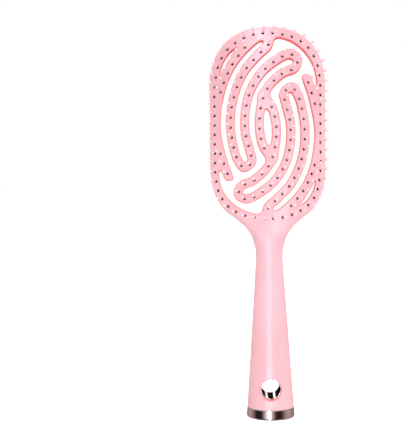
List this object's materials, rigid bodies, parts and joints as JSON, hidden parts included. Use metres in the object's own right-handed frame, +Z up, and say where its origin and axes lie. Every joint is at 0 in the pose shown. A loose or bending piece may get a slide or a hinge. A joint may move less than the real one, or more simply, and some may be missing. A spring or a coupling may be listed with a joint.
{
  "type": "vented hairbrush",
  "caption": "Curved paddle hairbrush: vented two-shell head with a maze of slots, rows of ball-tipped nylon pins, hollow handle with lined hanging hole and end cap.",
  "frame": {"origin": "middle of the end cap's flat bottom, with the brush standing on it", "axes": "+Z up the handle to the head, -Y the way the pins point, +X to the right as seen from the pin side"},
  "size_m": [0.0742, 0.0486, 0.2412],
  "materials": {
    "pink_plastic": "satin",
    "nylon": "translucent satin",
    "chrome": "polished"
  },
  "bodies": {
    "root": {"end_cap": "chrome", "handle_shell": "pink_plastic", "hanging_hole_liner": "chrome", "head_back": "pink_plastic", "head_front": "pink_plastic", "pin_strip_left_crescent": "nylon", "pin_strip_left_rib_1": "nylon", "pin_strip_left_rib_2": "nylon", "pin_strip_left_rib_3": "nylon", "pin_strip_left_rib_4": "nylon", "pin_strip_left_rib_5": "nylon", "pin_strip_left_rib_6": "nylon", "pin_strip_left_rim_1": "nylon", "pin_strip_left_rim_2": "nylon", "pin_strip_left_rim_3": "nylon", "pin_strip_left_tab": "nylon", "pin_strip_right_crescent": "nylon", "pin_strip_right_rib_1": "nylon", "pin_strip_right_rib_2": "nylon", "pin_strip_right_rib_3": "nylon", "pin_strip_right_rib_4": "nylon", "pin_strip_right_rib_5": "nylon", "pin_strip_right_rib_6": "nylon", "pin_strip_right_rim_1": "nylon", "pin_strip_right_rim_2": "nylon", "pin_strip_right_rim_3": "nylon", "pin_strip_right_tab": "nylon"}
  },
  "joints": []
}
